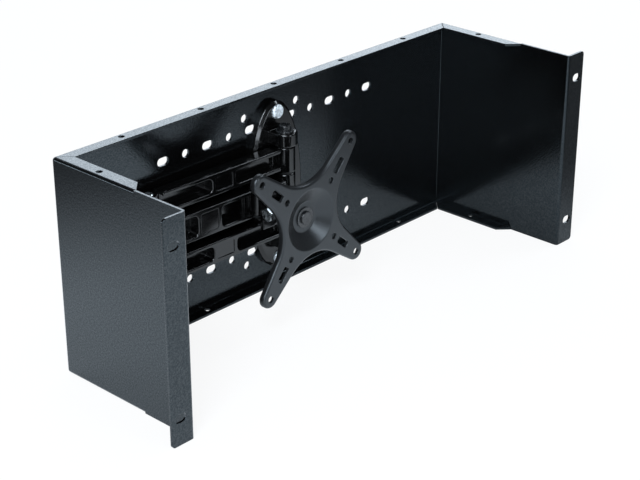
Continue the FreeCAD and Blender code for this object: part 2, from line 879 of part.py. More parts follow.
def build():
    os.makedirs("parts", exist_ok=True)
    upper_beam = upper_rear_beam()
    lower_beam = upper_beam.mirror(point(0, 0, 0), ALONG_Z)
    save("rack_bracket", rack_bracket())
    save("arm_base_plate", arm_base_plate())
    save("base_bolts", base_bolts())
    save("base_washers", base_washers())
    save("base_nuts", base_nuts())
    save("shoulder_pin", shoulder_pin())
    save("shoulder_nut", shoulder_nut_blank())
    save("shoulder_end_washers", shoulder_end_washers())
    save("shoulder_washers", shoulder_washers())
    save("shoulder_bushes", folded(shoulder_bushes()))
    save("upper_rear_arm", folded(upper_beam))
    save("lower_rear_arm", folded(lower_beam))
    save("elbow_pin", folded(elbow_pin()))
    save("elbow_bush", folded(elbow_bush()))
    save("elbow_washers", folded(elbow_washers()))
    save("front_arm", folded(front_beam()))
    save("pan_bush", folded(pan_bush()))
    save("pan_washers", folded(pan_washers()))
    save("pan_pin", pan_pin())
    save("head_yoke", head_yoke())
    save("tilt_bolt", tilt_bolt())
    save("tilt_nut", tilt_nut_blank())
    save("tilt_washers", tilt_washers())
    save("tilt_head", tilt_head())
    save("swivel_bolt", swivel_bolt())
    washer_seat = dish_floor_y - swivel_washer_thick
    save("swivel_washer", swivel_ring(swivel_washer_radius, washer_seat, dish_floor_y))
    save("swivel_disc", swivel_ring(swivel_disc_radius, dish_back_y, flange_y))
    save("monitor_plate", monitor_plate())


build()
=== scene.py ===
"""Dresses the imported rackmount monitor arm: paints, platings, small hardware and a studio stage."""
import math

import bmesh
import bpy
from bpy.props import FloatProperty, FloatVectorProperty, PointerProperty
from bpy.types import Operator, Panel, PropertyGroup
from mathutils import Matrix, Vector


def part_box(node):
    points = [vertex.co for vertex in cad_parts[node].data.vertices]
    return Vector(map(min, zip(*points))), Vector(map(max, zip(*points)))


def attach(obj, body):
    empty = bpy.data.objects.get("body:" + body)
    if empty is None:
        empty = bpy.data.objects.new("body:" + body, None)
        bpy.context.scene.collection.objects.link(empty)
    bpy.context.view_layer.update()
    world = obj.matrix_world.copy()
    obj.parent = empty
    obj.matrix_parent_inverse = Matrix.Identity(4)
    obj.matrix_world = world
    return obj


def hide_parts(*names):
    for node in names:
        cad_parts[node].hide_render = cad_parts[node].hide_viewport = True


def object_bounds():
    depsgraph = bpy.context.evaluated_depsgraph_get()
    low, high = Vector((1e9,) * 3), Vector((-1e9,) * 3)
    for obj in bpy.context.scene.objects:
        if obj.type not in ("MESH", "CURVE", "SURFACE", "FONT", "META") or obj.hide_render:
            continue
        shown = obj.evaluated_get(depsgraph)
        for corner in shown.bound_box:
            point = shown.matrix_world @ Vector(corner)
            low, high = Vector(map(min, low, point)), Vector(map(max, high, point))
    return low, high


bl_info = {
    "name": "Rackmount Monitor Arm",
    "version": (1, 0, 0),
    "blender": (4, 5, 0),
    "location": "View3D > Sidebar > Monitor Arm",
    "description": "Paints, platings, small hardware and a studio stage for a rackmount monitor arm",
    "category": "Object",
}

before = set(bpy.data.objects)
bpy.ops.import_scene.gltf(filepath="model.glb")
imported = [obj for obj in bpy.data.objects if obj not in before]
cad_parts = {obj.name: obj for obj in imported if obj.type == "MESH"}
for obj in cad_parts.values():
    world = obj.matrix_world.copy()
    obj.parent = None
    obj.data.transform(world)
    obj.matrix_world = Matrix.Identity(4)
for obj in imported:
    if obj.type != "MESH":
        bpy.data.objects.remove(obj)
cad_low, cad_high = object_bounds()

MM = 0.001
FULL_TURN = 2 * math.pi
RIGHT = Vector((1, 0, 0))
INWARD = Vector((0, 1, 0))
UP = Vector((0, 0, 1))
BLACK = (0, 0, 0)
WHITE = (1, 1, 1)

TURN_STEPS = 64
ROUND_STEPS = 6
HEX_SIDES = 6
HEX_SIDE_STEPS = 8
MERGE_DISTANCE = 1e-6
SMOOTH_ANGLE = math.radians(32)
FIT_GAP = 0.05 * MM
SHANK_SINK = 0.05 * MM
FLOOR_GAP = 0.1 * MM

BEVEL_SAMPLES = 6
NOISE_MIDDLE = 0.5


# Settings

class PaintSettings(PropertyGroup):
    """Colours and grain of the finishes."""

    coat: FloatVectorProperty(
        name="Powder coat", description="Colour of the bracket's powder coat",
        subtype="COLOR", size=3, min=0, max=1, default=(0.0013, 0.0012, 0.0012),
    )
    enamel: FloatVectorProperty(
        name="Arm enamel", description="Colour of the glossy paint on the castings",
        subtype="COLOR", size=3, min=0, max=1, default=(0.0014, 0.0013, 0.0013),
    )
    plate: FloatVectorProperty(
        name="Plate coat", description="Colour of the monitor plate's satin coat",
        subtype="COLOR", size=3, min=0, max=1, default=(0.0088, 0.0089, 0.0093),
    )
    zinc: FloatVectorProperty(
        name="Zinc", description="Colour of the zinc-plated bolts, nuts and pins",
        subtype="COLOR", size=3, min=0, max=1, default=(0.88, 0.94, 0.97),
    )
    steel: FloatVectorProperty(
        name="Black steel", description="Colour of the blackened shoulder pin and nut, washers and rivet",
        subtype="COLOR", size=3, min=0, max=1, default=(0.0062, 0.0066, 0.0074),
    )
    # Also a painted highlight: this pale colour on the rims stands in for light caught there as well as for
    # steel rubbed bare.
    bare_steel_highlight: FloatVectorProperty(
        name="Bare steel", description="Colour of the steel where the blackening is rubbed off",
        subtype="COLOR", size=3, min=0, max=1, default=(0.42, 0.44, 0.46),
    )
    nylon: FloatVectorProperty(
        name="Nylon", description="Colour of the plastic bushes and washers",
        subtype="COLOR", size=3, min=0, max=1, default=(0.0040, 0.0045, 0.0050),
    )
    sheen: FloatVectorProperty(
        name="Bracket sheen", description="Tint of the gloss on the powder-coated bracket",
        subtype="COLOR", size=3, min=0, max=1, default=(0.70, 0.89, 1.0),
    )
    plate_sheen: FloatVectorProperty(
        name="Plate sheen", description="Tint of the gloss on the monitor plate",
        subtype="COLOR", size=3, min=0, max=1, default=(0.88, 0.95, 1.0),
    )
    coat_ripple: FloatProperty(
        name="Coat ripple", description="Size of the powder coat's orange peel",
        unit="LENGTH", min=0.0002, default=1.4 * MM,
    )
    coat_grain: FloatProperty(
        name="Coat grain", description="Size of the grains in the powder coat",
        unit="LENGTH", min=0.0002, default=1.2 * MM,
    )
    cast_ripple: FloatProperty(
        name="Casting ripple", description="Size of the waves in the enamel over the castings",
        unit="LENGTH", min=0.0002, default=2.4 * MM,
    )
    paint_edge: FloatProperty(
        name="Paint edge", description="Radius of the paint where it wraps round a cut edge",
        unit="LENGTH", min=0, default=0.6 * MM,
    )
    plate_edge: FloatProperty(
        name="Plate edge", description="Radius of the pressed plate's rolled edges under its coat",
        unit="LENGTH", min=0, default=0.9 * MM,
    )
    zinc_edge: FloatProperty(
        name="Zinc edge", description="Radius of the plating where it wraps round a corner",
        unit="LENGTH", min=0, default=0.25 * MM,
    )
    steel_edge: FloatProperty(
        name="Steel edge", description="Radius of the blackened steel's rubbed edges",
        unit="LENGTH", min=0, default=0.3 * MM,
    )


class HardwareSettings(PropertyGroup):
    """Sizes of the small hardware that the frame doesn't give."""

    bolt_radius: FloatProperty(
        name="Bolt radius", description="Radius of the base bolts' and the tilt bolt's shanks",
        unit="LENGTH", min=0.001, default=3.0 * MM,
    )
    bolt_head: FloatProperty(
        name="Base bolt head", description="Height of a base bolt's head, from its top to its foot",
        unit="LENGTH", min=0.0005, default=2.4 * MM,
    )
    bolt_face: FloatProperty(
        name="Base bolt face", description="Depth of a base bolt's turned face below the top of its solid",
        unit="LENGTH", min=0, default=0.12 * MM,
    )
    bolt_rim: FloatProperty(
        name="Base bolt rim", description="Radius of the round on a base bolt's head",
        unit="LENGTH", min=0.0001, default=1.488 * MM,
    )
    tilt_head: FloatProperty(
        name="Tilt bolt head", description="Height of the tilt bolt's six-sided head",
        unit="LENGTH", min=0.0005, default=5.0 * MM,
    )
    pin_radius: FloatProperty(
        name="Pin radius", description="Radius of the shoulder pin in its nut",
        unit="LENGTH", min=0.001, default=4.0 * MM,
    )
    rivet_radius: FloatProperty(
        name="Rivet shank", description="Radius of the swivel rivet's shank",
        unit="LENGTH", min=0.001, default=4.0 * MM,
    )
    rivet_head: FloatProperty(
        name="Rivet head", description="Height of the swivel rivet's head",
        unit="LENGTH", min=0.0005, default=1.9 * MM,
    )
    rivet_rim: FloatProperty(
        name="Rivet rim", description="Radius of the round on the rivet's head",
        unit="LENGTH", min=0.0001, default=0.665 * MM,
    )
    rivet_dish: FloatProperty(
        name="Rivet dish", description="Depth of the shallow dish in the rivet's head",
        unit="LENGTH", min=0, default=0.15 * MM,
    )
    rivet_dish_share: FloatProperty(
        name="Rivet dish share", description="Radius of the dish's flat floor as a share of the head's",
        subtype="FACTOR", min=0, max=1, default=0.55,
    )
    pitch: FloatProperty(
        name="Thread pitch", description="Distance between two thread crests",
        unit="LENGTH", min=0.0002, default=1.0 * MM,
    )
    thread_depth: FloatProperty(
        name="Thread depth", description="Depth of the thread's groove",
        unit="LENGTH", min=0.0001, default=0.5 * MM,
    )
    tip_bevel: FloatProperty(
        name="Tip bevel", description="Width of the bevel at the tip of a bolt",
        unit="LENGTH", min=0.0001, default=0.75 * MM,
    )
    nut_bevel: FloatProperty(
        name="Nut bevel", description="Angle of the turned bevel on a nut's corners",
        subtype="ANGLE", min=0, default=math.radians(30),
    )
    nut_bevel_share: FloatProperty(
        name="Nut bevel share", description="Where the bevel starts, as a share of half the flats' distance",
        subtype="FACTOR", min=0.5, max=1, default=0.96,
    )


class StageSettings(PropertyGroup):
    """Camera, floor and light."""

    camera_place: FloatVectorProperty(
        name="Camera place", description="Where the camera stands",
        subtype="TRANSLATION", unit="LENGTH", size=3, default=(-0.8718, -0.7327, 0.5217),
    )
    camera_heading: FloatProperty(
        name="Camera heading", description="Turn of the view from straight into the rack, to the right",
        subtype="ANGLE", default=math.radians(46.948),
    )
    camera_pitch: FloatProperty(
        name="Camera pitch", description="Downward tilt of the view",
        subtype="ANGLE", default=math.radians(25.003),
    )
    lens: FloatProperty(
        name="Lens", description="Focal length on a sensor 36 mm wide",
        subtype="DISTANCE_CAMERA", min=1, default=90.2,
    )
    floor: FloatVectorProperty(
        name="Floor", description="Colour of the floor",
        subtype="COLOR", size=3, min=0, max=1, default=(0.86, 0.86, 0.86),
    )
    floor_size: FloatProperty(
        name="Floor size", description="Length of the floor's side",
        unit="LENGTH", min=1, default=14.0,
    )
    floor_white: FloatProperty(
        name="Floor white", description="Share of plain white in the floor that the camera sees",
        subtype="FACTOR", min=0, max=1, default=0.88,
    )
    # The glow and the pool below paint a pool of light onto the floor, which only gloss sees, with painted
    # shade outside it.
    floor_glow: FloatProperty(
        name="Floor glow", description="Share of plain white in the floor that gloss sees",
        subtype="FACTOR", min=0, max=1, default=0.1,
    )
    pool_middle: FloatVectorProperty(
        name="Pool middle", description="Middle of the bright pool that gloss sees on the floor",
        unit="LENGTH", size=2, default=(-0.18, -0.02),
    )
    pool_radius: FloatProperty(
        name="Pool radius", description="Distance at which the bright pool has half faded",
        unit="LENGTH", min=0.1, default=0.42,
    )
    pool_fade: FloatProperty(
        name="Pool fade", description="Width of the pool's soft rim",
        unit="LENGTH", min=0.01, default=0.36,
    )
    pool_rest: FloatProperty(
        name="Pool rest", description="Level of the floor that gloss sees outside the pool",
        subtype="FACTOR", min=0, max=1, default=0.15,
    )
    light_tint: FloatVectorProperty(
        name="Light tint", description="Colour of the lamps and of the surroundings' light",
        subtype="COLOR", size=3, min=0, max=1, default=(0.82, 0.91, 1.0),
    )
    sky: FloatProperty(
        name="Sky level", description="Light of the surroundings on dull surfaces",
        min=0, default=0.6,
    )
    sky_gloss: FloatProperty(
        name="Sky gloss", description="Level of the surroundings that gloss sees",
        min=0, default=0.06,
    )


# Shader maths

class Wire:
    """A shader socket that takes part in arithmetic: each operator adds one Math node."""

    def __init__(self, finish, socket):
        self.finish = finish
        self.socket = socket

    def combine(self, operation, first, second):
        return self.finish.node("ShaderNodeMath", {"operation": operation}, {0: first, 1: second})

    def __add__(self, other):
        return self.combine("ADD", self, other)

    def __radd__(self, other):
        return self.combine("ADD", other, self)

    def __sub__(self, other):
        return self.combine("SUBTRACT", self, other)

    def __rsub__(self, other):
        return self.combine("SUBTRACT", other, self)

    def __mul__(self, other):
        return self.combine("MULTIPLY", self, other)

    def __rmul__(self, other):
        return self.combine("MULTIPLY", other, self)

    def swing(self, reach):
        """A noise as a swing about zero, over a reach in all."""
        return (self - NOISE_MIDDLE) * reach

    def blended(self, other, share):
        """This noise with a share of another in it."""
        return self * (1 - share) + other * share

    def limited(self):
        """The value held between 0 and 1."""
        return self.finish.node("ShaderNodeClamp", {}, {"Value": self})


class Finish:
    """A node material under construction."""

    def __init__(self, tree):
        self.tree = tree
        tree.nodes.clear()

    def node(self, kind, settings, sockets, output=0):
        """Adds a node: its settings come first, then the values or links of its sockets. Gives one output."""
        made = self.tree.nodes.new(kind)
        for key, value in settings.items():
            if key == "stops":
                self.set_stops(made.color_ramp, value)
            else:
                setattr(made, key, value)
        for key, value in sockets.items():
            if isinstance(value, Wire):
                self.tree.links.new(value.socket, made.inputs[key])
            else:
                made.inputs[key].default_value = value
        return Wire(self, made.outputs[output]) if made.outputs else made

    @staticmethod
    def set_stops(ramp, stops):
        while len(ramp.elements) > 1:
            ramp.elements.remove(ramp.elements[-1])
        for index, (place, level) in enumerate(stops):
            element = ramp.elements[0] if index == 0 else ramp.elements.new(place)
            element.position = place
            element.color = (level, level, level, 1)

    def place(self):
        """Object coordinates, which are the frame's own metres."""
        return self.node("ShaderNodeTexCoord", {}, {}, "Object")

    def noise(self, place, size, detail=2, roughness=0.5):
        """Noise whose lumps are about size across, from 0 to 1."""
        sockets = {"Vector": place, "Scale": 1 / size, "Detail": detail, "Roughness": roughness}
        return self.node("ShaderNodeTexNoise", {}, sockets)

    def mask(self, value, start, end):
        """Rises from 0 where the value is at start to 1 where it is at end."""
        return self.node("ShaderNodeValToRGB", {"stops": ((start, 0), (end, 1))}, {"Fac": value})

    def mix(self, share, first, second):
        """Colour mix, from first to second."""
        sockets = {0: share, 6: colour(first), 7: colour(second)}
        return self.node("ShaderNodeMix", {"data_type": "RGBA"}, sockets, 2)

    def mottled(self, value, tone, darkest, palest):
        """A tone that a noise or mask takes from its darkest shade to its palest."""
        return self.mix(value, shade(tone, darkest), shade(tone, palest))

    def rounded(self, radius):
        """Normal of a surface whose edges are rounded."""
        return self.node("ShaderNodeBevel", {"samples": BEVEL_SAMPLES}, {"Radius": radius})

    def edges(self, rounded, sharpness, share):
        """Mask of the edges, up to a share: how far the rounded normal leans from the true one."""
        true_normal = self.node("ShaderNodeNewGeometry", {}, {}, "Normal")
        sockets = {0: rounded, 1: true_normal}
        lean = self.node("ShaderNodeVectorMath", {"operation": "DOT_PRODUCT"}, sockets, "Value")
        return ((1 - lean) * sharpness).limited() * share

    def bump(self, height, depth, strength, normal=None):
        sockets = {"Height": height, "Distance": depth, "Strength": strength}
        if normal is not None:
            sockets["Normal"] = normal
        return self.node("ShaderNodeBump", {}, sockets)

    def surface(self, sockets):
        shader = self.node("ShaderNodeBsdfPrincipled", {}, sockets)
        self.node("ShaderNodeOutputMaterial", {}, {"Surface": shader})


def colour(value):
    """A link as it is, or a colour with its alpha added."""
    if isinstance(value, Wire):
        return value
    return (*value, 1.0)


def shade(tone, factor):
    return tuple(channel * factor for channel in tone)


def new_finish(name):
    material = bpy.data.materials.new(name)
    material.use_nodes = True
    return material, Finish(material.node_tree)


# Finishes

def powder_coat(paint):
    """Black powder coat: orange peel with fine grains and faint clouds. Its edges are painted paler, partly
    for paint drawn thinner there and partly as a painted highlight.
    """
    material, finish = new_finish("powder_coat")
    place = finish.place()
    ripple = finish.noise(place, paint.coat_ripple)
    grain = finish.noise(place, paint.coat_grain, roughness=0.6)
    clouds = finish.noise(place, size=70 * MM, detail=3)
    specks = finish.mask(grain, start=0.56, end=0.70)
    round_normal = finish.rounded(paint.paint_edge)
    thinned_and_highlit = finish.edges(round_normal, sharpness=2.4, share=0.5)
    tone = finish.mottled(clouds, paint.coat, darkest=0.8, palest=1.2)
    tone = finish.mix(specks, tone, shade(paint.coat, factor=2.0))
    # Paler edges: partly the coat drawn thinner, partly a painted highlight along every edge.
    tone = finish.mix(thinned_and_highlit, tone, shade(paint.coat, factor=4.0))
    peel = ripple.blended(grain, share=0.3)
    finish.surface({
        "Base Color": tone,
        "Roughness": 0.11 + grain.swing(0.06) + clouds.swing(0.03),
        "Normal": finish.bump(peel, depth=0.13 * MM, strength=1.0, normal=round_normal),
        "Coat Weight": (0.28 + grain.swing(2.2)).limited(),
        "Coat Roughness": 0.12,
        "IOR": 1.50,
        "Specular Tint": colour(paint.sheen),
    })
    return material


def arm_enamel(paint):
    """Glossy black paint that flows a little over a casting. Its edges are paler, partly thinner paint and
    partly a painted highlight.
    """
    material, finish = new_finish("arm_enamel")
    place = finish.place()
    ripple = finish.noise(place, paint.cast_ripple)
    specks = finish.noise(place, size=0.7 * MM)
    clouds = finish.noise(place, size=30 * MM)
    round_normal = finish.rounded(paint.paint_edge)
    thinned_and_highlit = finish.edges(round_normal, sharpness=2.0, share=0.4)
    tone = finish.mottled(clouds, paint.enamel, darkest=0.8, palest=1.25)
    # Paler edges: partly thinner paint, partly a painted highlight along every edge.
    tone = finish.mix(thinned_and_highlit, tone, shade(paint.enamel, factor=4.0))
    flow = ripple.blended(specks, share=0.3)
    finish.surface({
        "Base Color": tone,
        "Roughness": 0.15 + specks.swing(0.08) + clouds.swing(0.06),
        "Normal": finish.bump(flow, depth=0.05 * MM, strength=0.25, normal=round_normal),
        "IOR": 1.60,
    })
    return material


def plate_coat(paint):
    """Satin black coat of the pressed monitor plate. Its edges are paler, partly thinner coat and partly a
    painted highlight.
    """
    material, finish = new_finish("plate_coat")
    place = finish.place()
    grain = finish.noise(place, size=0.8 * MM, detail=3, roughness=0.6)
    clouds = finish.noise(place, size=45 * MM)
    round_normal = finish.rounded(paint.plate_edge)
    thinned_and_highlit = finish.edges(round_normal, sharpness=1.0, share=0.5)
    tone = finish.mottled(clouds, paint.plate, darkest=0.85, palest=1.15)
    # Paler edges: partly thinner coat, partly a painted highlight along every edge.
    tone = finish.mix(thinned_and_highlit, tone, shade(paint.plate, factor=2.6))
    finish.surface({
        "Base Color": tone,
        "Roughness": 0.30 + grain.swing(0.10) + clouds.swing(0.05),
        "Normal": finish.bump(grain, depth=0.06 * MM, strength=0.4, normal=round_normal),
        "IOR": 1.58,
        "Specular Tint": colour(paint.plate_sheen),
    })
    return material


def zinc_plate(paint, name, bloom_share, roughness):
    """Zinc plate whose bright spangle shows through a share of dull white bloom."""
    material, finish = new_finish(name)
    place = finish.place()
    spangle = finish.noise(place, size=1.6 * MM, detail=3)
    scuffs = finish.noise(place, size=0.5 * MM)
    bloom = finish.mask(spangle, start=0.38, end=0.60)
    round_normal = finish.rounded(paint.zinc_edge)
    dents = spangle.blended(scuffs, share=0.4)
    finish.surface({
        "Base Color": finish.mottled(bloom, paint.zinc, darkest=0.80, palest=1.03),
        "Metallic": 1 - bloom * bloom_share,
        "Roughness": roughness * (1 + spangle.swing(0.7) + scuffs.swing(0.24)),
        "Normal": finish.bump(dents, depth=0.05 * MM, strength=0.4, normal=round_normal),
    })
    return material


def white_zinc(paint):
    """Weathered zinc of the base bolts, their nuts and washers."""
    return zinc_plate(paint, "white_zinc", bloom_share=0.7, roughness=0.42)


def bright_zinc(paint):
    """Fresh zinc of the tilt bolt, its nut, and the elbow and pan pins."""
    return zinc_plate(paint, "bright_zinc", bloom_share=0.06, roughness=0.20)


def black_steel(paint):
    """Blackened steel with an oily sheen. Its edges are paler, partly rubbed bare and partly a painted
    highlight on the rims.
    """
    material, finish = new_finish("black_steel")
    place = finish.place()
    patches = finish.noise(place, size=4 * MM, detail=3)
    scuffs = finish.noise(place, size=0.6 * MM)
    round_normal = finish.rounded(paint.steel_edge)
    rubbed_and_highlit = finish.edges(round_normal, sharpness=2.2, share=0.8)
    tone = finish.mottled(patches, paint.steel, darkest=0.8, palest=1.3)
    finish.surface({
        # Pale metallic rims: partly steel rubbed bare, partly a painted highlight.
        "Base Color": finish.mix(rubbed_and_highlit, tone, paint.bare_steel_highlight),
        "Metallic": rubbed_and_highlit,
        "Roughness": 0.26 + patches.swing(0.14) + scuffs.swing(0.10),
        "Normal": finish.bump(scuffs, depth=0.04 * MM, strength=0.3, normal=round_normal),
        "IOR": 1.7,
    })
    return material


def black_nylon(paint):
    """Matt moulded nylon."""
    material, finish = new_finish("black_nylon")
    grain = finish.noise(finish.place(), size=0.5 * MM)
    finish.surface({
        "Base Color": finish.mottled(grain, paint.nylon, darkest=0.8, palest=1.25),
        "Roughness": 0.50 + grain.swing(0.12),
        "Normal": finish.bump(grain, depth=0.04 * MM, strength=0.25),
    })
    return material


FINISHES = {
    "powder_coat": powder_coat,
    "arm_enamel": arm_enamel,
    "plate_coat": plate_coat,
    "zinc": white_zinc,
    "bright_zinc": bright_zinc,
    "black_steel": black_steel,
    "nylon": black_nylon,
}
made_finishes = {}


def finish_for(name):
    """The material of a finish, made on first use."""
    if name not in made_finishes:
        made_finishes[name] = FINISHES[name](bpy.context.scene.arm_paint)
    return made_finishes[name]


def dress(name, *nodes):
    """Gives CAD nodes a finish."""
    for node in nodes:
        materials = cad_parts[node].data.materials
        materials.clear()
        materials.append(finish_for(name))


# Mesh helpers

def add_piece(name, bm, slot, body, replaced, finish=None):
    """Closes a bmesh into a piece that rides on a body, with its slot's finish or a finish of its own."""
    bmesh.ops.remove_doubles(bm, verts=bm.verts, dist=MERGE_DISTANCE)
    bmesh.ops.recalc_face_normals(bm, faces=bm.faces)
    mesh = bpy.data.meshes.new(name)
    bm.to_mesh(mesh)
    bm.free()
    mesh.shade_smooth()
    mesh.set_sharp_from_angle(angle=SMOOTH_ANGLE)
    mesh.materials.append(finish_for(finish or slot))
    piece = bpy.data.objects.new(name, mesh)
    bpy.context.scene.collection.objects.link(piece)
    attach(piece, body)
    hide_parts(replaced)


def turned(bm, profile, start, axis):
    """Adds a turned solid: (along, radius) points of a half profile, spun once round an axis."""
    side = axis.orthogonal().normalized()
    rail = [bm.verts.new(start + axis * along + side * radius) for along, radius in profile]
    edges = [bm.edges.new(pair) for pair in zip(rail, rail[1:])]
    bmesh.ops.spin(
        bm, geom=rail + edges, cent=start, axis=axis, dvec=Vector(), angle=FULL_TURN,
        steps=TURN_STEPS, use_merge=True, use_duplicate=False,
    )


def quarter_round(along, radius, size):
    """Profile points of a rounded rim, from the end face at along to the wall at radius."""
    points = []
    for step in range(ROUND_STEPS + 1):
        angle = FULL_TURN / 4 * step / ROUND_STEPS
        points.append((along + size * (1 - math.cos(angle)), radius - size * (1 - math.sin(angle))))
    return points


def thread(start, end, radius, hardware):
    """Profile points of a thread's crests and roots between two places along a bolt."""
    count = max(1, round((end - start) / hardware.pitch))
    step = (end - start) / count
    points = []
    for turn in range(count):
        crest = start + turn * step
        points.append((crest, radius))
        points.append((crest + step / 2, radius - hardware.thread_depth))
    points.append((end, radius))
    return points


def bolt_tail(start, end, radius, hardware):
    """Threaded end of a bolt with a bevelled tip."""
    bevel = hardware.tip_bevel
    return thread(start, end - bevel, radius, hardware) + [(end, radius - bevel), (end, 0)]


def hex_block(bm, start, axis, flats, height, bore, hardware):
    """Adds a nut, or a bolt head where the bore is zero: six flats with a turned bevel at both ends."""
    slope = math.tan(hardware.nut_bevel)
    apothem = flats / 2
    bevel_start = apothem * hardware.nut_bevel_share
    corner_side = UP if axis.x else RIGHT
    across = axis.cross(corner_side)
    side_turn = FULL_TURN / HEX_SIDES

    def loop(along, radius, inward):
        """Ring of edges at a place along the axis. With no radius it follows the flats, bevelled inwards."""
        ring = bmesh.ops.create_circle(bm, segments=HEX_SIDES * HEX_SIDE_STEPS, radius=1)["verts"]
        edges = {edge for vert in ring for edge in vert.link_edges}
        for vert in ring:
            angle = math.atan2(vert.co.y, vert.co.x)
            from_flat = angle % side_turn - side_turn / 2
            reach = radius or apothem / math.cos(from_flat)
            dip = 0 if radius else (reach - bevel_start) * slope * inward
            spoke = corner_side * math.cos(angle) + across * math.sin(angle)
            vert.co = start + axis * (along + dip) + spoke * reach
        return list(edges)

    loops = [loop(0, bevel_start, 1), loop(0, 0, 1), loop(height, 0, -1), loop(height, bevel_start, -1)]
    if bore:
        loops = [loop(0, bore, 1)] + loops + [loop(height, bore, -1)]
        loops.append(loops[0])
    for near, far in zip(loops, loops[1:]):
        bmesh.ops.bridge_loops(bm, edges=near + far)
    if not bore:
        bmesh.ops.contextual_create(bm, geom=loops[0])
        bmesh.ops.contextual_create(bm, geom=loops[-1])


# Pieces

class ArmOperator(Operator):
    """Shared by all of the monitor arm's operators"""

    bl_options = {"REGISTER", "UNDO"}


class ARM_OT_bracket(ArmOperator):
    """Powder-coats the folded rack bracket"""

    bl_idname = "monitor_arm.bracket"
    bl_label = "Rack Bracket"

    def execute(self, context):
        dress("powder_coat", "rack_bracket")
        return {"FINISHED"}


class ARM_OT_castings(ArmOperator):
    """Enamels the base plate, the beams and the head"""

    bl_idname = "monitor_arm.castings"
    bl_label = "Castings"

    def execute(self, context):
        dress("arm_enamel", "arm_base_plate", "upper_rear_arm", "lower_rear_arm", "front_arm")
        dress("arm_enamel", "head_yoke", "tilt_head")
        return {"FINISHED"}


class ARM_OT_plate(ArmOperator):
    """Coats the pressed monitor plate"""

    bl_idname = "monitor_arm.plate"
    bl_label = "Monitor Plate"

    def execute(self, context):
        dress("plate_coat", "monitor_plate")
        return {"FINISHED"}


class ARM_OT_bearings(ArmOperator):
    """Finishes the plastic bushes and washers, the pins and the steel washers"""

    bl_idname = "monitor_arm.bearings"
    bl_label = "Pins and Bearings"

    def execute(self, context):
        dress("nylon", "shoulder_bushes", "shoulder_washers", "elbow_bush", "elbow_washers")
        dress("nylon", "pan_bush", "pan_washers", "tilt_washers", "swivel_disc")
        dress("bright_zinc", "elbow_pin", "pan_pin")
        dress("zinc", "base_washers")
        dress("black_steel", "shoulder_pin", "shoulder_end_washers", "swivel_washer")
        return {"FINISHED"}


class ARM_OT_base_bolts(ArmOperator):
    """Makes the two flat-headed bolts of the base plate, with their threads"""

    bl_idname = "monitor_arm.base_bolts"
    bl_label = "Base Bolts"

    def execute(self, context):
        hardware = context.scene.arm_hardware
        low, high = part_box("base_bolts")
        nut_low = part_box("base_nuts")[0]
        head_radius = (high.x - low.x) / 2
        head_foot = hardware.bolt_head
        shank = hardware.bolt_radius
        nut_start = nut_low.y - low.y
        profile = [(hardware.bolt_face, 0)]
        profile += quarter_round(hardware.bolt_face, head_radius, hardware.bolt_rim)
        profile += [(head_foot, head_radius), (head_foot, shank), (nut_start, shank)]
        profile += bolt_tail(nut_start, high.y - low.y, shank, hardware)
        bm = bmesh.new()
        for height in (low.z + head_radius, high.z - head_radius):
            turned(bm, profile, Vector((0, low.y, height)), INWARD)
        add_piece("base_bolts_zinc", bm, "zinc", "bracket", "base_bolts")
        return {"FINISHED"}


class ARM_OT_nuts(ArmOperator):
    """Makes the six-sided nuts of the base bolts, the shoulder pin and the tilt bolt"""

    bl_idname = "monitor_arm.nuts"
    bl_label = "Nuts"

    def execute(self, context):
        hardware = context.scene.arm_hardware
        bolt_bore = hardware.bolt_radius + FIT_GAP
        pin_bore = hardware.pin_radius + FIT_GAP

        low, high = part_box("base_nuts")
        corner = (high.x - low.x) / 2
        flats = 2 * corner * math.cos(FULL_TURN / HEX_SIDES / 2)
        bm = bmesh.new()
        for height in (low.z + flats / 2, high.z - flats / 2):
            start = Vector((0, low.y, height))
            hex_block(bm, start, INWARD, flats, high.y - low.y, bolt_bore, hardware)
        add_piece("base_nuts_zinc", bm, "zinc", "bracket", "base_nuts")

        low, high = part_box("tilt_nut")
        start = Vector((low.x, (low.y + high.y) / 2, 0))
        bm = bmesh.new()
        hex_block(bm, start, RIGHT, high.y - low.y, high.x - low.x, bolt_bore, hardware)
        add_piece("tilt_nut_zinc", bm, "zinc", "yoke", "tilt_nut", finish="bright_zinc")

        low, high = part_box("shoulder_nut")
        start = Vector((0, (low.y + high.y) / 2, low.z))
        bm = bmesh.new()
        hex_block(bm, start, UP, high.y - low.y, high.z - low.z, pin_bore, hardware)
        add_piece("shoulder_nut_steel", bm, "black_steel", "bracket", "shoulder_nut")
        return {"FINISHED"}


class ARM_OT_tilt_bolt(ArmOperator):
    """Makes the six-sided bolt across the yoke"""

    bl_idname = "monitor_arm.tilt_bolt"
    bl_label = "Tilt Bolt"

    def execute(self, context):
        hardware = context.scene.arm_hardware
        low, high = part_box("tilt_bolt")
        nut_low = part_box("tilt_nut")[0]
        start = Vector((low.x, (low.y + high.y) / 2, 0))
        shank = hardware.bolt_radius
        shank_start = hardware.tilt_head - SHANK_SINK
        nut_start = nut_low.x - low.x
        profile = [(shank_start, 0), (shank_start, shank), (nut_start, shank)]
        profile += bolt_tail(nut_start, high.x - low.x, shank, hardware)
        bm = bmesh.new()
        hex_block(bm, start, RIGHT, high.y - low.y, hardware.tilt_head, 0, hardware)
        turned(bm, profile, start, RIGHT)
        add_piece("tilt_bolt_zinc", bm, "zinc", "yoke", "tilt_bolt", finish="bright_zinc")
        return {"FINISHED"}


